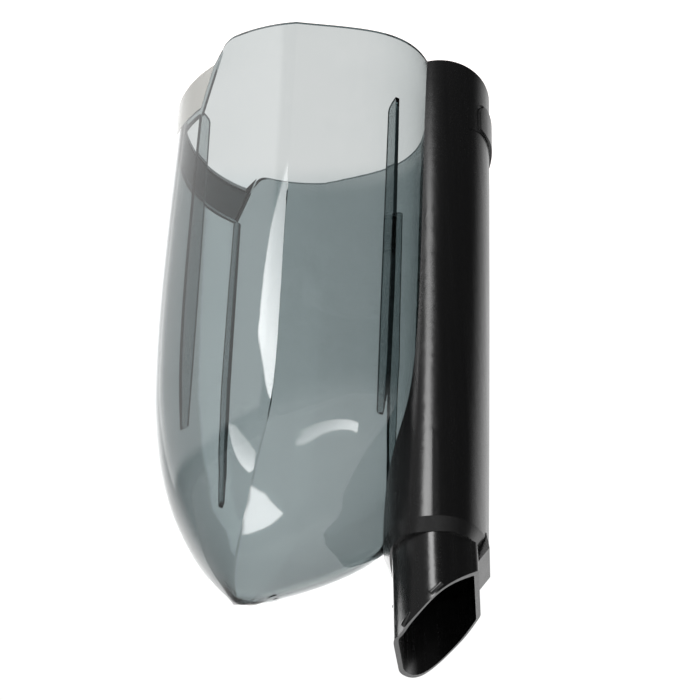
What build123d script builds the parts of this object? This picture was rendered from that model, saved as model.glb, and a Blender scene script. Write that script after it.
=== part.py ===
from build123d import *
import os
from math import cos, sin, pi, sqrt

os.makedirs("parts", exist_ok=True)

# ---------------------------------------------------------------------------
# Dust container of an upright vacuum cleaner: a clear smoked bin with a bow-
# shaped bottom, a silver cover strip round its front, and a black suction duct
# that hugs its back and ends in a slanted oval neck.
# Millimetres. +Z up, rim of the bin at Z = 0, mirror plane Y = 0, front at -X.
# The origin is the middle of the bin's mouth, level with its widest point.
# ---------------------------------------------------------------------------

# bin
WALL = 2.2                 # bin wall
RIB_T = 1.8                # inner rib thickness
# one row per level: height, front X, ridge X, ridge half-width, back X, keel mix
LEVELS = [
    (0.0, -61.4, 0.0, 59.3, 57.6, 0.00),
    (-40.0, -63.0, -1.0, 59.15, 55.8, 0.00),
    (-80.0, -64.6, -2.1, 58.9, 54.0, 0.00),
    (-120.0, -65.4, -3.4, 58.4, 52.2, 0.00),
    (-150.0, -64.7, -4.4, 57.4, 50.4, 0.03),
    (-170.0, -62.4, -5.6, 56.0, 48.2, 0.12),
    (-185.0, -59.2, -7.8, 54.0, 45.4, 0.45),
    (-200.0, -54.2, -12.1, 49.3, 41.6, 0.90),
    (-212.0, -48.6, -15.9, 41.8, 37.0, 1.00),
    (-222.0, -42.6, -19.6, 34.0, 28.2, 1.00),
    (-230.0, -36.4, -23.0, 25.6, 13.0, 1.00),
    (-236.0, -30.6, -25.0, 15.0, -6.0, 1.00),
    (-239.4, -27.4, -25.0, 6.0, -18.5, 1.00),
]
# heights of the sections that the bin's skin passes through
HEIGHTS = [0.0, -22.0, -44.0, -66.0, -88.0, -108.0, -127.0, -144.0, -159.0, -172.0, -183.5,
           -194.0, -203.5, -212.0, -219.5, -226.0, -231.5, -236.0, -239.4]
# cover strip round the front
STRIP_TOP, STRIP_LOW = -11.0, -31.0
STRIP_X_TOP, STRIP_X_LOW = -36.9, -42.4
STRIP_T = 1.6              # strip thickness
LIP_H = 2.0                # height of the strip's top lip
SEAT_IN = 1.8              # depth of the seat under the strip
SEAT_WALL = 2.0            # bin wall behind the strip
COLLAR_X = -31.0           # front end of the collar at the rim
GAP = 0.15                 # gap round the strip
# duct: height, centre X, half-depth, half-width, roundness
DUCT = [
    (-1.0, 58.6, 23.0, 30.6, 2.0),
    (-75.0, 56.0, 22.2, 32.2, 2.05),
    (-150.0, 53.4, 21.3, 34.0, 2.1),
    (-190.0, 52.0, 20.7, 36.2, 2.2),
    (-221.8, 50.9, 20.2, 38.2, 2.3),
]
DUCT_WALL = 2.0
DUCT_FIT = 0.3             # gap between bin and duct
# neck: two bowed sides between a flat front and a flat back, slanted mouth
# one bowed side, from the end of the flat front to the corner at the back
NECK_SIDE = [(34.9, 13.0), (36.6, 22.6), (40.6, 30.5), (46.0, 35.2), (51.5, 36.6), (59.0, 33.5),
             (66.9, 24.2)]
NECK_R_BACK = 5.0          # corner radius at the back
NECK_WALL = 1.8
SHOULDER = 5.6             # height of the sloped shoulder
# side-view line of the mouth, front to back
MOUTH = [(20.0, -266.0), (33.6, -262.6), (40.0, -260.4), (47.0, -255.2), (54.0, -248.9),
         (61.0, -243.2), (67.0, -238.0), (78.0, -228.0)]
# low beads on the outside of the mouth: place on one side, direction
BEADS = [((40.6, 30.3, -257.9), (0.55, 0.42, 0.72)), ((51.6, 36.4, -248.9), (0.74, 0.0, 0.67))]
BEAD_R, BEAD_L = 0.9, 6.0
PIP = (34.7, 0.0, -241.9)  # small round pip on the neck's front
# latch pad on the back of the duct
PAD_W, PAD_TOP, PAD_LOW, PAD_R = 18.8, -16.0, -31.5, 7.0
PAD_H, PAD_GROOVE = 0.8, 1.2
LINE_LOW, LINE_MID, LINE_W = -36.0, -30.4, 25.0   # curved line under the pad


# ---------------------------------------------------------------------------
# bin volumes
# ---------------------------------------------------------------------------
def lean(col, i):
    """Lean of one profile at row i: monotone, so that the skin doesn't ripple."""
    def step(k):
        return (LEVELS[k + 1][col] - LEVELS[k][col]) / (LEVELS[k + 1][0] - LEVELS[k][0])
    if i == 0:
        return step(0)
    if i == len(LEVELS) - 1:
        return step(i - 1)
    d0, d1 = step(i - 1), step(i)
    if d0 * d1 <= 0:
        return 0.0
    h0, h1 = LEVELS[i - 1][0] - LEVELS[i][0], LEVELS[i][0] - LEVELS[i + 1][0]
    w0, w1 = 2 * h1 + h0, h1 + 2 * h0
    return (w0 + w1) / (w0 / d0 + w1 / d1)


def profile(col, z):
    """One profile at height z, and its lean there."""
    i = 0
    while i < len(LEVELS) - 2 and z < LEVELS[i + 1][0]:
        i += 1
    za, zb = LEVELS[i][0], LEVELS[i + 1][0]
    h, s = zb - za, (z - za) / (zb - za)
    ya, yb = LEVELS[i][col], LEVELS[i + 1][col]
    da, db = lean(col, i), lean(col, i + 1)
    y = (ya * (1 + 2 * s) * (1 - s) ** 2 + h * da * s * (1 - s) ** 2
         + yb * s * s * (3 - 2 * s) + h * db * s * s * (s - 1))
    dy = ((ya - yb) * 6 * s * (s - 1) / h + da * (1 - s) * (1 - 3 * s) + db * s * (3 * s - 2))
    return y, dy


def level(z, t):
    """Section at height z of the skin moved inwards by t."""
    out = [z]
    for col, sign in ((1, 1), (2, 0), (3, -1), (4, -1), (5, 0)):
        y, dy = profile(col, z)
        out.append(y + sign * t * sqrt(1 + dy * dy))
    return tuple(out)


def front_points(lv, n=10):
    """Half oval from the far ridge round the front to the near ridge."""
    z, xf, xr, yr, xb, q = lv
    out = []
    for k in range(2 * n + 1):
        a = pi / 2 - pi * k / (2 * n)
        out.append((xr - (xr - xf) * cos(a), yr * sin(a)))
    return out


def back_points(lv, n=12):
    """From the near ridge round the back to the far ridge."""
    z, xf, xr, yr, xb, q = lv
    c, m, k = 0.22 + 0.28 * q, 5.0 - 2.4 * q, 0.33 + 0.17 * q
    half = []
    for j in range(n + 1):
        s = j / n
        u = 1 - (1 - s) ** (1 / k)
        y = (1 - c * u) * max(0.0, 1 - u ** m) ** k
        half.append((xr + (xb - xr) * u, yr * y))
    half[-1] = (xb, 0.0)
    return [(x, -y) for x, y in half] + [(x, y) for x, y in half[-2::-1]]


def bin_volume(t, last, top=0.0):
    """Solid inside the bin's outer skin moved inwards by t."""
    rows = [level(z, t) for z in HEIGHTS if z > last] + [level(last, t)]
    if top > 0:
        rows = [(top,) + rows[0][1:]] + rows
    with BuildPart() as vol:
        for lv in rows:
            with BuildSketch(Plane.XY.offset(lv[0])):
                with BuildLine():
                    Spline(*front_points(lv))
                    Spline(*back_points(lv))
                make_face()
        loft()
    return vol.part


Z_TIP, Z_LIMIT, Z_FLOOR, Z_SEAT = HEIGHTS[-1], HEIGHTS[-2], -237.3, -90.0
outer = bin_volume(0.0, Z_TIP)
hollow = bin_volume(WALL, Z_FLOOR, 3.0)
rib_limit = bin_volume(WALL - 0.4, Z_LIMIT, 3.0)
seat_skin = bin_volume(SEAT_IN, Z_SEAT, 3.0)
seat_back = bin_volume(SEAT_IN + SEAT_WALL, Z_SEAT, 3.0)
strip_skin = bin_volume(STRIP_T, Z_SEAT, 3.0)


def seam_x(z, g):
    """X of the strip's end line at height z, moved back by g."""
    k = (STRIP_X_TOP - STRIP_X_LOW) / (STRIP_TOP - STRIP_LOW)
    return STRIP_X_TOP + k * (z - STRIP_TOP) + g


def front_zone(g, low, top):
    """Block in front of the strip's end line, between two heights."""
    with BuildPart() as zone:
        with BuildSketch(Plane.XZ):
            with BuildLine():
                Polyline((-90, top), (seam_x(top, g), top), (seam_x(low, g), low), (-90, low),
                         close=True)
            make_face()
        extrude(amount=80, both=True)
    return zone.part


seat_zone = front_zone(0.0, STRIP_LOW, 8.0)
seat_zone_wide = front_zone(2.0, STRIP_LOW - 2.0, 8.0)
lip_zone = front_zone(0.0, STRIP_TOP - LIP_H - GAP, 8.0)
strip_room = front_zone(-GAP, STRIP_LOW + GAP, STRIP_TOP)
lip_room = front_zone(-GAP, STRIP_TOP - LIP_H, STRIP_TOP)

# the front is cut away above the strip, with a rounded corner on the collar
with BuildPart() as collar_cut:
    with BuildSketch(Plane.XZ):
        with BuildLine():
            Polyline((-90, STRIP_TOP), (STRIP_X_TOP, STRIP_TOP), (COLLAR_X - 2.0, -4.0))
            ThreePointArc((COLLAR_X - 2.0, -4.0), (COLLAR_X + 0.2, -1.15), (COLLAR_X + 4.0, 0.0))
            Polyline((COLLAR_X + 4.0, 0.0), (COLLAR_X + 4.0, 6.0), (-90, 6.0), (-90, STRIP_TOP))
        make_face()
    extrude(amount=80, both=True)


# ---------------------------------------------------------------------------
# inner ribs: flat plates standing on the wall
# ---------------------------------------------------------------------------
def rib(top, low, out):
    """Plate with its inner edge from top to low, spreading along `out`."""
    n = (Vector(*low) - Vector(*top)).length
    down = (Vector(*low) - Vector(*top)).normalized()
    o = Vector(*out) - down * Vector(*out).dot(down)
    plane = Plane(origin=top, x_dir=o.normalized(), z_dir=o.cross(down).normalized())
    with BuildPart() as plate:
        with BuildSketch(plane):
            with BuildLine():
                Polyline((0, 3.6), (0.7, 2.0), (2.4, 0.7), (5.0, -0.2), (14, -2.4), (14, n - 1.5),
                         (2.0, n), (0, n - 2.0), close=True)
            make_face()
        extrude(amount=RIB_T / 2, both=True)
    return plate.part


ribs = []
for side in (-1, 1):
    ribs.append(rib((-39.0, side * 38.0, -32.5), (-41.0, side * 35.6, -182.5),
                    (-0.605, side * 0.796, 0)))
    ribs.append(rib((38.0, side * 38.0, -32.0), (31.2, side * 34.2, -178.5),
                    (0.545, side * 0.84, 0)))

# ---------------------------------------------------------------------------
# bin_shell: one clear moulding
# ---------------------------------------------------------------------------
# wall behind the strip, stepped inwards
with BuildPart() as seat_wall:
    add(hollow)
    add(seat_back, mode=Mode.SUBTRACT)
    add(seat_zone_wide, mode=Mode.INTERSECT)

# room for the strip in the outer face
with BuildPart() as recess:
    add(outer)
    add(seat_skin, mode=Mode.SUBTRACT)
    add(seat_zone, mode=Mode.INTERSECT)

# ribs cut to the wall
with BuildPart() as rib_set:
    for plate in ribs:
        add(plate)
    add(rib_limit, mode=Mode.INTERSECT)

with BuildPart() as bin_shell:
    add(outer)
    add(hollow, mode=Mode.SUBTRACT)
    add(seat_wall.part)
    add(recess.part, mode=Mode.SUBTRACT)
    add(collar_cut.part, mode=Mode.SUBTRACT)
    add(lip_zone, mode=Mode.SUBTRACT)
    add(rib_set.part)
bin_shell.part.label = "bin_shell"
export_step(bin_shell.part, "parts/bin_shell.step")

# ---------------------------------------------------------------------------
# front_strip: cover strip with a lip over the top of its seat
# ---------------------------------------------------------------------------
with BuildPart() as strip_lip:
    add(outer)
    add(seat_back, mode=Mode.SUBTRACT)
    add(lip_room, mode=Mode.INTERSECT)

with BuildPart() as front_strip:
    add(outer)
    add(strip_skin, mode=Mode.SUBTRACT)
    add(strip_room, mode=Mode.INTERSECT)
    add(strip_lip.part)
    top_arcs = front_strip.edges().group_by(Axis.Z)[-1].filter_by(lambda e: e.length > 60)
    fillet(top_arcs.sort_by(SortBy.LENGTH)[0], 0.7)
front_strip.part.label = "front_strip"
export_step(front_strip.part, "parts/front_strip.step")


# ---------------------------------------------------------------------------
# suction_duct: one black moulding
# ---------------------------------------------------------------------------
def oval(row, t, n=32):
    """Rounded oval of one duct level, moved inwards by t."""
    z, xc, a, b, m = row
    pts = []
    for k in range(n):
        w = 2 * pi * k / n
        c, d = cos(w), sin(w)
        px = abs(c) ** (2 / m) * (1 if c >= 0 else -1)
        py = abs(d) ** (2 / m) * (1 if d >= 0 else -1)
        pts.append((xc + (a - t) * px, (b - t) * py))
    return pts


def oval_loft(rows, t):
    """Solid through a stack of ovals moved inwards by t."""
    with BuildPart() as vol:
        for row in rows:
            with BuildSketch(Plane.XY.offset(row[0])):
                with BuildLine():
                    Spline(*oval(row, t), periodic=True)
                make_face()
        loft()
    return vol.part


Z_RING = DUCT[-1][0]
Z_NECK = Z_RING - SHOULDER
SHOULDER_ROWS = [DUCT[-1], (Z_NECK, 50.6, 17.2, 36.8, 2.9)]
OPEN_ROWS = [(2.0,) + DUCT[0][1:]] + DUCT

duct_skin = oval_loft(DUCT, 0.0)
duct_skin_in = oval_loft(DUCT, PAD_H)
duct_skin_out = oval_loft(OPEN_ROWS, -PAD_H)
duct_core = oval_loft(OPEN_ROWS, DUCT_WALL)
shoulder_skin = oval_loft(SHOULDER_ROWS, 0.0)
shoulder_core = oval_loft(SHOULDER_ROWS, DUCT_WALL)
bin_grown = bin_volume(-DUCT_FIT, Z_TIP)
bin_lining = bin_volume(-DUCT_FIT - DUCT_WALL, Z_TIP)


def neck_tube(t, top):
    """Straight neck moved inwards by t, from a height to below its mouth."""
    side = [(NECK_SIDE[0][0] + t, NECK_SIDE[0][1])]
    for (xa, ya), (x, y), (xc, yc) in zip(NECK_SIDE, NECK_SIDE[1:], NECK_SIDE[2:]):
        d = sqrt((xc - xa) ** 2 + (yc - ya) ** 2)
        side.append((x + t * (yc - ya) / d, y - t * (xc - xa) / d))
    side.append((NECK_SIDE[-1][0] - t, NECK_SIDE[-1][1] - t / 3))
    with BuildPart() as tube:
        with BuildSketch(Plane.XY.offset(top)) as sk:
            with BuildLine():
                Spline(*side, tangents=((0, 1), (0.6, -0.8)))
                Line(side[-1], (side[-1][0], -side[-1][1]))
                Spline(*[(x, -y) for x, y in side[::-1]], tangents=((-0.6, -0.8), (0, 1)))
                Line((side[0][0], -side[0][1]), side[0])
            make_face()
            fillet(sk.vertices().group_by(Axis.X)[-1], NECK_R_BACK - t)
        extrude(amount=-(285 + top))
    return tube.part


neck_skin = neck_tube(0.0, Z_NECK)
neck_core = neck_tube(NECK_WALL, Z_NECK)

# everything below the mouth
with BuildPart() as mouth_cut:
    with BuildSketch(Plane.XZ):
        with BuildLine():
            Spline(*MOUTH)
            Polyline(MOUTH[-1], (90, MOUTH[-1][1]), (90, -300), (MOUTH[0][0], -300), MOUTH[0])
        make_face()
    extrude(amount=80, both=True)

# catch under the shoulder, at the back: a ledge with a slanted underside
with BuildPart() as catch:
    with BuildSketch(Plane.XZ):
        with BuildLine():
            Polyline((69.6, -219.5), (70.4, -219.5), (71.3, -225.6), (66.5, -231.4), (66.2, -228.4),
                     (67.6, -225.3), (69.4, -222.0), close=True)
        make_face()
    extrude(amount=15.0, both=True)


def bead(at, along):
    """Short bar with rounded ends, half sunk in the wall."""
    with BuildPart(Plane(origin=at, z_dir=along)) as bar:
        Cylinder(BEAD_R, BEAD_L)
        fillet(bar.edges().filter_by(GeomType.CIRCLE), 0.6 * BEAD_R)
    return bar.part


beads = []
for (bx, by, bz), (dx, dy, dz) in BEADS:
    for side in (-1, 1):
        beads.append(bead((bx, side * by, bz), (dx, side * dy, dz)))

with BuildPart(Plane(origin=PIP)) as pip:
    Sphere(1.1)


# neck with its beads and its pip
with BuildPart() as neck:
    add(neck_skin)
    for bar in beads:
        add(bar)
    add(pip.part)


def back_block(w, low, top, r):
    """Arch-topped block that reaches through the back of the duct."""
    with BuildPart() as block:
        with BuildSketch(Plane.YZ.offset(62)) as sk:
            with Locations((0, (top + low) / 2)):
                Rectangle(2 * w, top - low)
            fillet(sk.vertices().group_by(Axis.Y)[-1], r)
        extrude(amount=30)
    return block.part


pad_block = back_block(PAD_W, PAD_LOW, PAD_TOP, PAD_R)
groove_block = back_block(PAD_W + PAD_GROOVE, PAD_LOW, PAD_TOP + PAD_GROOVE, PAD_R + PAD_GROOVE)


def under_arc(z):
    """Block below the curved line under the pad."""
    with BuildPart() as block:
        with BuildSketch(Plane.YZ.offset(62)):
            with BuildLine():
                ThreePointArc((-LINE_W, LINE_LOW + z), (0, LINE_MID + z), (LINE_W, LINE_LOW + z))
                Polyline((LINE_W, LINE_LOW + z), (LINE_W, -60), (-LINE_W, -60), (-LINE_W, LINE_LOW + z))
            make_face()
        extrude(amount=30)
    return block.part


pad_under = under_arc(0.35)
line_under = under_arc(-0.35)

# raised pad, down to the curved line
with BuildPart() as pad:
    add(duct_skin_out)
    add(duct_core, mode=Mode.SUBTRACT)
    add(pad_block, mode=Mode.INTERSECT)
    add(pad_under, mode=Mode.SUBTRACT)

# groove round the pad, and the line under it
with BuildPart() as groove:
    add(groove_block)
    add(pad_block, mode=Mode.SUBTRACT)
    add(pad_under)
    add(line_under, mode=Mode.SUBTRACT)
    add(duct_skin_in, mode=Mode.SUBTRACT)

# thin joint line of the moulding down both sides of the lower duct
with BuildPart() as mould_line:
    with BuildSketch(Plane.XZ):
        with BuildLine():
            Polyline((51.9, -187.0), (52.3, -187.0), (51.1, -222.5), (50.7, -222.5), close=True)
        make_face()
    extrude(amount=60, both=True)
    add(oval_loft(DUCT, 0.25), mode=Mode.SUBTRACT)
    add(duct_skin, mode=Mode.INTERSECT)

# air passage
with BuildPart() as passage:
    add(duct_core)
    add(bin_lining, mode=Mode.SUBTRACT)
    add(shoulder_core)
    add(neck_core)

with BuildPart() as suction_duct:
    add(duct_skin)
    add(groove.part, mode=Mode.SUBTRACT)
    add(pad.part)
    add(mould_line.part, mode=Mode.SUBTRACT)
    add(bin_grown, mode=Mode.SUBTRACT)
    add(shoulder_skin)
    add(neck.part)
    add(passage.part, mode=Mode.SUBTRACT)
    add(mouth_cut.part, mode=Mode.SUBTRACT)
    add(catch.part)
suction_duct.part.label = "suction_duct"
export_step(suction_duct.part, "parts/suction_duct.step")
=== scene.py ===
import math

import bpy
import numpy as np
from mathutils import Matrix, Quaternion, Vector


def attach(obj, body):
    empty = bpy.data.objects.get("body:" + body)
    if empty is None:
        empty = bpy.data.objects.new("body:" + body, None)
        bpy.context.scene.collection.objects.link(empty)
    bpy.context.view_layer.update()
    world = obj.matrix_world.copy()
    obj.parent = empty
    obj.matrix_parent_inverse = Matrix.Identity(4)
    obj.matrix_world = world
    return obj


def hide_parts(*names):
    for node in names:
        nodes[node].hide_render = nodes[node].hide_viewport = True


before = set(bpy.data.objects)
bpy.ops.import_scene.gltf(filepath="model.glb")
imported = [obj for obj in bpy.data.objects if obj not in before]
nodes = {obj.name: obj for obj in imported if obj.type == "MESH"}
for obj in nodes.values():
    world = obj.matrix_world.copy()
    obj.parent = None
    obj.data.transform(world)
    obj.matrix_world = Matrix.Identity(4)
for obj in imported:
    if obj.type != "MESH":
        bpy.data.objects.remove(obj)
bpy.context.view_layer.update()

scene = bpy.context.scene
scene.view_settings.view_transform = "Standard"
scene.view_settings.look = "None"

bin_shell, front_strip, suction_duct = nodes["bin_shell"], nodes["front_strip"], nodes["suction_duct"]


# ---------------------------------------------------------------------------
# node helpers
# ---------------------------------------------------------------------------
class Tree:
    """A node tree with short calls for nodes and links."""

    def __init__(self, owner):
        owner.use_nodes = True
        self.t = owner.node_tree
        self.t.nodes.clear()

    def add(self, kind, **props):
        n = self.t.nodes.new(kind)
        for k, v in props.items():
            setattr(n, k, v)
        return n

    def put(self, socket, value):
        if isinstance(value, bpy.types.NodeSocket):
            self.t.links.new(value, socket)
        else:
            socket.default_value = value

    def math(self, op, a, b=0.0, clamp=False):
        n = self.add("ShaderNodeMath", operation=op, use_clamp=clamp)
        self.put(n.inputs[0], a)
        self.put(n.inputs[1], b)
        return n.outputs[0]

    def ramp(self, value, lo, hi, to_lo=0.0, to_hi=1.0, smooth=True):
        n = self.add("ShaderNodeMapRange", interpolation_type="SMOOTHSTEP" if smooth else "LINEAR")
        self.put(n.inputs["Value"], value)
        for k, v in (("From Min", lo), ("From Max", hi), ("To Min", to_lo), ("To Max", to_hi)):
            n.inputs[k].default_value = v
        return n.outputs[0]

    def noise(self, vector, scale, detail=2.0, rough=0.5, dims="3D"):
        n = self.add("ShaderNodeTexNoise", noise_dimensions=dims)
        self.put(n.inputs["Vector"], vector)
        n.inputs["Scale"].default_value = scale
        n.inputs["Detail"].default_value = detail
        n.inputs["Roughness"].default_value = rough
        return n.outputs["Fac"]

    def stretch(self, vector, s):
        n = self.add("ShaderNodeMapping")
        self.put(n.inputs["Vector"], vector)
        n.inputs["Scale"].default_value = s
        return n.outputs[0]

    def colour(self, fac, a, b):
        n = self.add("ShaderNodeMix", data_type="RGBA")
        self.put(n.inputs["Factor"], fac)
        n.inputs["A"].default_value = (*a, 1)
        n.inputs["B"].default_value = (*b, 1)
        return n.outputs["Result"]

    def bump(self, height, strength, distance, normal=None):
        n = self.add("ShaderNodeBump")
        n.inputs["Strength"].default_value = strength
        n.inputs["Distance"].default_value = distance
        self.put(n.inputs["Height"], height)
        if normal is not None:
            self.put(n.inputs["Normal"], normal)
        return n.outputs[0]


def material(name):
    m = bpy.data.materials.new(name)
    t = Tree(m)
    out = t.add("ShaderNodeOutputMaterial")
    bsdf = t.add("ShaderNodeBsdfPrincipled")
    t.t.links.new(bsdf.outputs[0], out.inputs["Surface"])
    pos = t.add("ShaderNodeTexCoord").outputs["Object"]
    return m, t, bsdf, out, pos


def dress(obj, mat):
    obj.data.materials.clear()
    obj.data.materials.append(mat)


# ---------------------------------------------------------------------------
# bin: the CAD shell with the true normals of its skins, so that the clear
# plastic bends the light evenly
# ---------------------------------------------------------------------------
# height, front X, ridge X, ridge half-width, back X, keel mix (millimetres)
LEVELS = [
    (0.0, -61.4, 0.0, 59.3, 57.6, 0.00), (-40.0, -63.0, -1.0, 59.15, 55.8, 0.00),
    (-80.0, -64.6, -2.1, 58.9, 54.0, 0.00), (-120.0, -65.4, -3.4, 58.4, 52.2, 0.00),
    (-150.0, -64.7, -4.4, 57.4, 50.4, 0.03), (-170.0, -62.4, -5.6, 56.0, 48.2, 0.12),
    (-185.0, -59.2, -7.8, 54.0, 45.4, 0.45), (-200.0, -54.2, -12.1, 49.3, 41.6, 0.90),
    (-212.0, -48.6, -15.9, 41.8, 37.0, 1.00), (-222.0, -42.6, -19.6, 34.0, 28.2, 1.00),
    (-230.0, -36.4, -23.0, 25.6, 13.0, 1.00), (-236.0, -30.6, -25.0, 15.0, -6.0, 1.00),
    (-239.4, -27.4, -25.0, 6.0, -18.5, 1.00),
]
HEIGHTS = [0.0, -22.0, -44.0, -66.0, -88.0, -108.0, -127.0, -144.0, -159.0, -172.0, -183.5,
           -194.0, -203.5, -212.0, -219.5, -226.0, -231.5, -236.0, -239.4]


def lean(col, i):
    def step(k):
        return (LEVELS[k + 1][col] - LEVELS[k][col]) / (LEVELS[k + 1][0] - LEVELS[k][0])
    if i == 0:
        return step(0)
    if i == len(LEVELS) - 1:
        return step(i - 1)
    d0, d1 = step(i - 1), step(i)
    if d0 * d1 <= 0:
        return 0.0
    h0, h1 = LEVELS[i - 1][0] - LEVELS[i][0], LEVELS[i][0] - LEVELS[i + 1][0]
    w0, w1 = 2 * h1 + h0, h1 + 2 * h0
    return (w0 + w1) / (w0 / d0 + w1 / d1)


def profile(col, z):
    i = 0
    while i < len(LEVELS) - 2 and z < LEVELS[i + 1][0]:
        i += 1
    za, zb = LEVELS[i][0], LEVELS[i + 1][0]
    h, s = zb - za, (z - za) / (zb - za)
    ya, yb = LEVELS[i][col], LEVELS[i + 1][col]
    da, db = lean(col, i), lean(col, i + 1)
    y = (ya * (1 + 2 * s) * (1 - s) ** 2 + h * da * s * (1 - s) ** 2
         + yb * s * s * (3 - 2 * s) + h * db * s * s * (s - 1))
    dy = ((ya - yb) * 6 * s * (s - 1) / h + da * (1 - s) * (1 - 3 * s) + db * s * (3 * s - 2))
    return y, dy


class Skin:
    """The bin's outer skin moved inwards by t, as smooth curves through its sections."""

    def __init__(self, t, last, top):
        zs = [z for z in HEIGHTS if z > last] + [last]
        rows = []
        for z in zs:
            row = []
            for col, sign in ((1, 1), (2, 0), (3, -1), (4, -1), (5, 0)):
                y, dy = profile(col, z)
                row.append(y + sign * t * math.sqrt(1 + dy * dy))
            rows.append(row)
        if top > 0:
            zs, rows = [top] + zs, [rows[0]] + rows
        self.z = -np.array(zs)
        self.y = np.array(rows)
        n, h = len(zs), np.diff(self.z)
        a, r = np.eye(n), np.zeros((n, 5))
        for i in range(1, n - 1):
            a[i, i - 1:i + 2] = h[i - 1], 2 * (h[i - 1] + h[i]), h[i]
            r[i] = 6 * ((self.y[i + 1] - self.y[i]) / h[i] - (self.y[i] - self.y[i - 1]) / h[i - 1])
        self.m = np.linalg.solve(a, r)

    def at(self, z):
        q = np.clip(-z, self.z[0], self.z[-1])
        i = np.clip(np.searchsorted(self.z, q) - 1, 0, len(self.z) - 2)
        h = (self.z[i + 1] - self.z[i])[:, None]
        a, b = (self.z[i + 1] - q)[:, None] / h, (q - self.z[i])[:, None] / h
        return a * self.y[i] + b * self.y[i + 1] + ((a ** 3 - a) * self.m[i] + (b ** 3 - b) * self.m[i + 1]) * h * h / 6

    def value(self, p, front):
        """Zero on the skin, positive outside; front picks the half in front of the ridge."""
        xf, xr, yr, xb, q = self.at(p[:, 2]).T
        q = np.clip(q, 0, 1)
        ahead = ((xr - p[:, 0]) / (xr - xf)) ** 2 + (p[:, 1] / yr) ** 2 - 1
        c, m, k = 0.22 + 0.28 * q, 5.0 - 2.4 * q, 0.33 + 0.17 * q
        u = (p[:, 0] - xr) / (xb - xr)
        behind = (np.abs(p[:, 1]) / (yr * np.maximum(1 - c * u, 0.05))) ** (1 / k) + np.maximum(u, 0.0) ** m - 1
        return np.where(front, ahead, behind)

    def look(self, p, front):
        """Distance from the skin and its normal at points p."""
        g = np.zeros_like(p)
        for ax, e in ((0, 0.05), (1, 0.05), (2, 0.4)):
            d = np.zeros(3)
            d[ax] = e
            g[:, ax] = (self.value(p + d, front) - self.value(p - d, front)) / (2 * e)
        size = np.maximum(np.linalg.norm(g, axis=1), 1e-9)
        return self.value(p, front) / size, g / size[:, None]


def true_normals(source, name):
    """Copy of the shell whose skins carry their exact normals."""
    mesh = source.data.copy()
    mesh.name = name
    n = len(mesh.polygons)
    co = np.zeros(len(mesh.vertices) * 3)
    mesh.vertices.foreach_get("co", co)
    co = co.reshape(-1, 3) * 1000
    corner = np.zeros(len(mesh.loops), int)
    mesh.loops.foreach_get("vertex_index", corner)
    flat = np.zeros(n * 3)
    mesh.polygons.foreach_get("normal", flat)
    flat = flat.reshape(-1, 3)
    tri = corner.reshape(n, 3)
    mid = co[tri].mean(1)
    result = np.repeat(flat, 3, axis=0)
    best = np.full(n, 0.16)
    for t, last, top in ((0.0, HEIGHTS[-1], 0.0), (2.2, -237.3, 3.0), (1.8, -90.0, 3.0), (3.8, -90.0, 3.0)):
        skin = Skin(t, last, top)
        front = mid[:, 0] < skin.at(mid[:, 2])[:, 1]
        far, nrm = np.zeros(n), np.zeros((n, 3, 3))
        for k in range(3):
            d, nrm[:, k] = skin.look(co[tri[:, k]], front)
            far = np.maximum(far, np.abs(d))
        turn = (nrm.mean(1) * flat).sum(1)
        hit = (far < best) & (np.abs(turn) > 0.93)
        best[hit] = far[hit]
        nrm *= np.sign(turn)[:, None, None]
        result.reshape(n, 3, 3)[hit] = nrm[hit]
    # the small flats at the tip turn evenly into the skin round them
    for t, last, sign in ((0.0, HEIGHTS[-1], 1.0), (2.2, -237.3, -1.0)):
        skin = Skin(t, last, 0.0)
        tip = np.where((np.abs(mid[:, 2] - last) < 0.05) & (np.abs(flat[:, 2]) > 0.95))[0]
        row = skin.at(np.array([last]))[0]
        centre = np.array([(row[0] + row[3]) / 2, 0.0])
        half = np.array([(row[3] - row[0]) / 2, row[2]])
        for k in range(3):
            q = co[tri[tip, k]]
            w = np.clip(np.linalg.norm((q[:, :2] - centre) / half, axis=1), 0, 1)[:, None]
            _, edge = skin.look(q, q[:, 0] < row[1])
            v = (1 - w) * np.array([0.0, 0.0, -1.0]) + w * edge
            v *= sign / np.maximum(np.linalg.norm(v, axis=1), 1e-9)[:, None]
            result.reshape(n, 3, 3)[tip, k] = v
    print("bin faces on a skin:", int((best < 0.16).sum()), "of", n)
    mesh.polygons.foreach_set("use_smooth", np.ones(n, bool))
    mesh.normals_split_custom_set(result.tolist())
    obj = bpy.data.objects.new(name, mesh)
    scene.collection.objects.link(obj)
    return obj


clear_bin = true_normals(bin_shell, "clear_bin")
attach(clear_bin, "root")
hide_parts("bin_shell")

# ---------------------------------------------------------------------------
# smoked clear plastic: polished, with fine handling marks
# ---------------------------------------------------------------------------
clear, t, b, out, pos = material("smoked_clear")
haze = t.noise(pos, 45.0, 3.0)
marks = t.noise(t.stretch(pos, (900.0, 900.0, 60.0)), 1.0, 4.0, 0.6)
t.put(b.inputs["Base Color"], t.colour(haze, (0.965, 0.975, 0.975), (1.0, 1.0, 1.0)))
t.put(b.inputs["Roughness"], t.math("ADD", t.ramp(haze, 0.35, 0.75, 0.004, 0.016), t.ramp(marks, 0.6, 0.8, 0.0, 0.02)))
b.inputs["IOR"].default_value = 1.53
b.inputs["Transmission Weight"].default_value = 1.0
vol = t.add("ShaderNodeVolumeAbsorption")
vol.inputs["Color"].default_value = (0.083, 0.194, 0.208, 1)
vol.inputs["Density"].default_value = 360.0
t.t.links.new(vol.outputs[0], out.inputs["Volume"])

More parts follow.
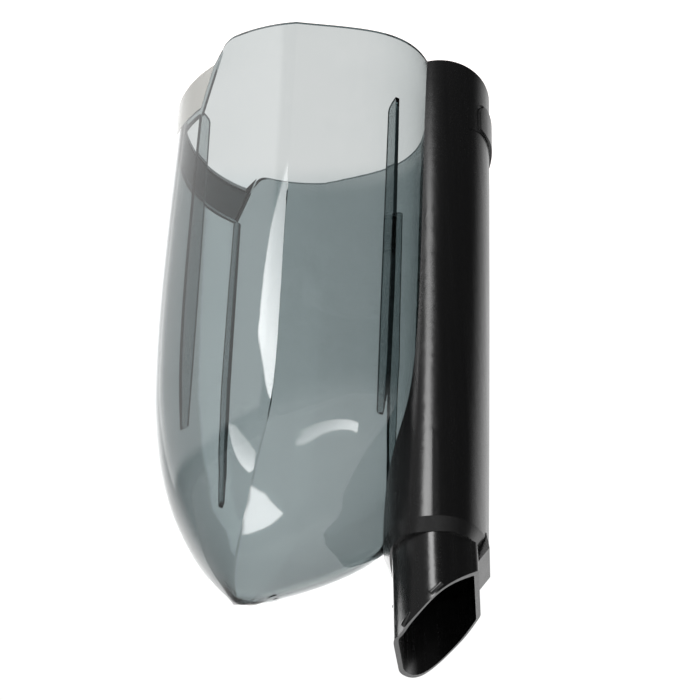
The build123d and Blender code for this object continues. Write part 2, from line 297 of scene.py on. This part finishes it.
# ---------------------------------------------------------------------------
# cover strip: satin warm grey plastic with a fine grain
# ---------------------------------------------------------------------------
grey, t, b, out, pos = material("light_grey")
fine = t.noise(pos, 2600.0, 3.0, 0.6)
broad = t.noise(pos, 70.0, 2.0)
outside = t.colour(t.math("ADD", t.math("MULTIPLY", fine, 0.5), t.math("MULTIPLY", broad, 0.5)),
                   (0.385, 0.382, 0.362), (0.455, 0.452, 0.432))
inside = t.colour(fine, (0.80, 0.83, 0.83), (0.90, 0.93, 0.93))
geo = t.add("ShaderNodeNewGeometry")
spoke = t.add("ShaderNodeVectorMath", operation="MULTIPLY")
t.put(spoke.inputs[0], pos)
spoke.inputs[1].default_value = (1.0, 1.0, 0.0)
facing = t.add("ShaderNodeVectorMath", operation="DOT_PRODUCT")
t.put(facing.inputs[0], spoke.outputs[0])
t.put(facing.inputs[1], geo.outputs["Normal"])
shell = t.add("ShaderNodeMix", data_type="RGBA")
t.put(shell.inputs["Factor"], t.ramp(facing.outputs["Value"], -0.02, -0.01))
t.put(shell.inputs["A"], inside)
t.put(shell.inputs["B"], outside)
t.put(b.inputs["Base Color"], shell.outputs["Result"])
t.put(b.inputs["Roughness"], t.ramp(fine, 0.3, 0.7, 0.34, 0.46))
t.put(b.inputs["Normal"], t.bump(fine, 0.10, 0.00008))

# ---------------------------------------------------------------------------
# duct: semi-gloss black plastic, fine moulded grain and long flow streaks
# ---------------------------------------------------------------------------
black, t, b, out, pos = material("black_gloss")
grain = t.noise(pos, 1800.0, 3.0, 0.6)
streak = t.noise(t.stretch(pos, (260.0, 260.0, 7.0)), 1.0, 3.0, 0.55)
t.put(b.inputs["Base Color"], t.colour(t.math("MULTIPLY", grain, streak), (0.0045, 0.0045, 0.0047), (0.0095, 0.0096, 0.0098)))
t.put(b.inputs["Roughness"], t.math("ADD", t.ramp(streak, 0.3, 0.7, 0.20, 0.25), t.ramp(grain, 0.4, 0.7, 0.0, 0.04)))
b.inputs["IOR"].default_value = 1.5
t.put(b.inputs["Normal"], t.bump(grain, 0.02, 0.00005))

dress(clear_bin, clear)
dress(bin_shell, clear)
dress(front_strip, grey)
dress(suction_duct, black)

# ---------------------------------------------------------------------------
# camera: from below, a little round towards the duct
# ---------------------------------------------------------------------------
TARGET = Vector((0.0176, 0.0, -0.12895))


def towards(az, el):
    a, e = math.radians(az), math.radians(el)
    return Vector((math.sin(a) * math.cos(e), -math.cos(a) * math.cos(e), math.sin(e)))


cam = bpy.data.objects.new("camera", bpy.data.cameras.new("camera"))
scene.collection.objects.link(cam)
cam.data.sensor_width = 36.0
cam.data.lens = 1472 / 700 * 36.0
cam.data.clip_start, cam.data.clip_end = 0.01, 100.0
cam.location = TARGET + towards(5.2, -30.0) * 0.615
cam.rotation_mode = "QUATERNION"
cam.rotation_quaternion = (TARGET - cam.location).to_track_quat("-Z", "Y")
scene.camera = cam

# ---------------------------------------------------------------------------
# studio: pale floor, white surround, soft boxes
# ---------------------------------------------------------------------------
floor_mesh = bpy.data.meshes.new("floor")
S, FZ = 6.0, -1.0
floor_mesh.from_pydata([(-S, -S, FZ), (S, -S, FZ), (S, S, FZ), (-S, S, FZ)], [], [(0, 1, 2, 3)])
floor = bpy.data.objects.new("floor", floor_mesh)
scene.collection.objects.link(floor)
fm, t, b, out, pos = material("floor")
t.put(b.inputs["Base Color"], t.colour(t.noise(pos, 3.0, 2.0), (0.88, 0.88, 0.88), (0.92, 0.92, 0.92)))
b.inputs["Roughness"].default_value = 0.9
b.inputs["Emission Color"].default_value = (1, 1, 1, 1)
b.inputs["Emission Strength"].default_value = 0.3
dress(floor, fm)

# surround: white behind the object and through it, dimmer where only gloss sees it
world = bpy.data.worlds.new("studio")
scene.world = world
t = Tree(world)
out = t.add("ShaderNodeOutputWorld")
bg = t.add("ShaderNodeBackground")
t.t.links.new(bg.outputs[0], out.inputs["Surface"])
axes = t.add("ShaderNodeSeparateXYZ")
t.t.links.new(t.add("ShaderNodeTexCoord").outputs["Generated"], axes.inputs[0])
X, Y, Z = axes.outputs["X"], axes.outputs["Y"], axes.outputs["Z"]
path = t.add("ShaderNodeLightPath")


high = t.ramp(Z, 0.586, 0.606)
warm = t.colour(high, (1.05, 1.05, 1.05), (1.52, 1.43, 1.405))
slant = t.math("SUBTRACT", X, t.math("MULTIPLY", t.math("SUBTRACT", Z, 0.5), 0.085))
strip_of_light = t.math("ADD", t.ramp(slant, -0.2115, -0.2055, -0.25, 0.2), t.ramp(slant, -0.1805, -0.1745, 0.0, -0.2))
side = t.math("ADD", t.ramp(X, -0.16, -0.07, 0.22, 0.0), strip_of_light)
side = t.math("MULTIPLY", side, t.math("SUBTRACT", 1.0, high))
through = t.add("ShaderNodeVectorMath", operation="SCALE")
t.put(through.inputs[0], warm)
t.put(through.inputs["Scale"], t.math("ADD", 1.0, side))
through = through.outputs[0]
low = t.ramp(Z, 0.20, 0.52, 0.18, 1.3)
behind_left = t.math("MULTIPLY", t.math("MULTIPLY", t.ramp(Y, 0.36, 0.72, 0.0, 3.2), t.ramp(X, -0.30, 0.0, 1.0, 0.0)), low)
behind_right = t.ramp(Y, 0.26, 0.84, 0.0, 1.0)
left = t.ramp(X, -0.42, 0.06, 0.3, 0.03)
above = t.ramp(Z, 0.7, 0.95, 0.0, 0.3)
mirror = t.math("ADD", t.math("ADD", behind_left, behind_right), t.math("ADD", left, above))
mirror = t.math("MAXIMUM", mirror, t.ramp(Z, -0.17, 0.3, 0.6, 0.0))
inner = t.math("GREATER_THAN", path.outputs["Transmission Depth"], 0.5)
mirror = t.math("MULTIPLY", mirror, t.ramp(path.outputs["Transmission Depth"], 1.4, 1.6, 1.0, 0.15))
mirror = t.math("MAXIMUM", mirror, t.math("MULTIPLY", inner, t.ramp(Z, -0.1, 0.3, 0.6, 0.10)))
grey_level = t.add("ShaderNodeCombineColor")
for k in range(3):
    t.put(grey_level.inputs[k], mirror)


def choose(fac, a, b):
    n = t.add("ShaderNodeMix", data_type="RGBA")
    t.put(n.inputs["Factor"], fac)
    t.put(n.inputs["A"], a)
    t.put(n.inputs["B"], b)
    return n.outputs["Result"]


seen = choose(path.outputs["Is Diffuse Ray"], through, (0.42, 0.42, 0.42, 1))
t.put(bg.inputs["Color"], choose(t.math("GREATER_THAN", path.outputs["Glossy Depth"], 0.5), seen, grey_level.outputs[0]))
bg.inputs["Strength"].default_value = 1.0
world.cycles.sampling_method = "NONE"


def group(name, *members):
    c = bpy.data.collections.new(name)
    for o in members:
        c.objects.link(o)
    return c


pale, clear_only, dark = group("lit_pale", clear_bin, front_strip), group("lit_clear", clear_bin), group("lit_dark", suction_duct)


def panel(name, at, corners, radiance, lit, dist=1.2, soft=1.5, fade=None):
    """Flat light whose outline has the given corners, as directions (azimuth, elevation) from the point `at`, with an
    edge `soft` degrees wide. fade = (from, to, share): the light falls to that share at `from`. Gloss and matt
    surfaces see it, but it isn't seen straight through clear plastic."""
    at = Vector(at) / 1000
    mid = sum((towards(*c) for c in corners), Vector()).normalized()
    turn = (-mid).to_track_quat("-Z", "Y")
    ax, ay = turn @ Vector((1, 0, 0)), turn @ Vector((0, 1, 0))

    def flat(c):
        d = towards(*c)
        v = d * (dist / d.dot(mid))
        return Vector((v.dot(ax), v.dot(ay)))

    pts = [flat(c) for c in corners]
    edge = dist * math.tan(math.radians(soft / 2))
    x0, x1 = min(p.x for p in pts) - edge, max(p.x for p in pts) + edge
    y0, y1 = min(p.y for p in pts) - edge, max(p.y for p in pts) + edge
    w, h = x1 - x0, y1 - y0
    light = bpy.data.lights.new(name, "AREA")
    light.shape, light.size, light.size_y = "RECTANGLE", w, h
    light.energy = radiance * math.pi * w * h
    t = Tree(light)
    out = t.add("ShaderNodeOutputLight")
    em = t.add("ShaderNodeEmission")
    t.t.links.new(em.outputs[0], out.inputs["Surface"])
    p = t.add("ShaderNodeLightPath")
    straight = t.math("MULTIPLY", p.outputs["Is Transmission Ray"], t.math("LESS_THAN", p.outputs["Glossy Depth"], 0.5))
    power = t.math("MULTIPLY", t.math("SUBTRACT", 1.0, straight), t.ramp(p.outputs["Transmission Depth"], 1.4, 1.6, 1.0, 0.15))
    uv = t.add("ShaderNodeSeparateXYZ")
    t.put(uv.inputs[0], t.add("ShaderNodeNewGeometry").outputs["Parametric"])

    def slope(g, o):
        """g . (place on the light - o)"""
        a = t.math("MULTIPLY", uv.outputs[0], g.x * w)
        b = t.math("MULTIPLY", uv.outputs[1], g.y * h)
        return t.math("ADD", t.math("ADD", a, b), g.x * (x0 - o.x) + g.y * (y0 - o.y))

    area = sum(a.x * b.y - a.y * b.x for a, b in zip(pts, pts[1:] + pts[:1]))
    for a, b in zip(pts, pts[1:] + pts[:1]):
        n = Vector((a.y - b.y, b.x - a.x)).normalized() * (1 if area > 0 else -1)
        power = t.math("MULTIPLY", power, t.ramp(slope(n, a), -edge, edge))
    if fade:
        a, b = flat(fade[0]), flat(fade[1])
        g = (b - a) / (b - a).length_squared
        power = t.math("MULTIPLY", power, t.ramp(slope(g, a), 0.0, 1.0, fade[2], 1.0, smooth=False))
    t.put(em.inputs["Strength"], power)
    o = bpy.data.objects.new(name, light)
    scene.collection.objects.link(o)
    o.location = at + mid * dist + ax * ((x0 + x1) / 2) + ay * ((y0 + y1) / 2)
    o.rotation_mode = "QUATERNION"
    o.rotation_quaternion = turn
    o.visible_camera = False
    o.light_linking.receiver_collection = lit
    return o


def below(x, y):
    """Direction to a place under the object, in units of its height over the floor."""
    return math.degrees(math.atan2(x, -y)), -math.degrees(math.atan2(1.0, math.hypot(x, y)))


panel("key", (-8, -58, -130), [(-8, 38.5), (-13.4, 36.8), (-18.3, 34.6), (-20.8, 31.6), (-22.9, 24.3), (-6.3, 7), (9, 7), (9, 38.5)],
      13.0, pale, soft=1.4, fade=((-9, 38), (-17, 24), 0.4))
panel("left", (-19, -48, -197), [(-43.6, 8.4), (-36, 5.5), (-19.4, -8.4), (-10.5, -20), (-9.5, -38), (-13.5, -46), (-29, -24), (-42, -4)],
      9.5, pale, soft=2.0, fade=((-16, -10), (-29, -23), 0.3))
panel("low", (-12, -35, -217), [(38.5, -48.5), (43, -47.8), (52, -49.5), (48, -61), (45, -69), (36.5, -57)], 10.0, pale, dist=0.75, soft=1.2)
panel("right", (14, -43, -190), [(38.0, -20.0), (61, -26.6), (66, -30.4), (58, -29.5), (51.8, -28.2), (42, -25)],
      9.0, pale, soft=0.9, fade=((39, -23), (58, -29), 0.3))
panel("belly", (5, -20, -220), [below(-0.1, 0.05), below(0.95, -0.5), below(1.2, -0.58), below(1.12, 0.2), below(1.0, 1.4), below(-0.6, 1.4)],
      0.4, clear_only, dist=0.55, soft=3.0)
panel("back", (0, 0, -232), [(130, -58), (205, -58), (205, 10), (130, 10)], 1.9, clear_only, dist=0.9, soft=6.0, fade=((165, -56), (165, -28), 0.05))
panel("wall", (-30, -45, -130), [(-16, 44), (-16, 8), (-70, 2), (-125, 6), (-125, 46)], 1.3, clear_only, soft=8.0)
panel("duct_key", (52, -33, -160), [(-25, 42), (-12, 42), (0, 10), (-25, 10)], 12.0, dark, soft=2.0,
      fade=((-17, 38), (-12, 20), 0.65))
